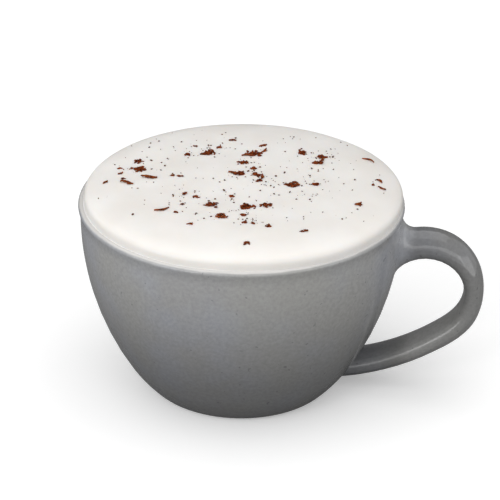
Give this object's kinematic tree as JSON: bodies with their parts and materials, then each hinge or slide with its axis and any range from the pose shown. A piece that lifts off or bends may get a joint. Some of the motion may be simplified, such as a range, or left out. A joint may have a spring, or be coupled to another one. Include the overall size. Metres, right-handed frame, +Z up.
{
  "type": "cappuccino in a cup",
  "caption": "Bowl-shaped grey stoneware cup with a loop handle, filled past its lip with foamed cappuccino and chocolate flakes.",
  "frame": {"origin": "middle of the foot ring, on the plane that the cup stands on", "axes": "+Z up along the cup's axis, +X out through the handle"},
  "size_m": [0.1254, 0.1, 0.0689],
  "materials": {
    "glaze": "gloss",
    "milk_foam": "satin"
  },
  "bodies": {
    "root": {"cup": "glaze", "foamed_drink": "milk_foam"}
  },
  "joints": []
}
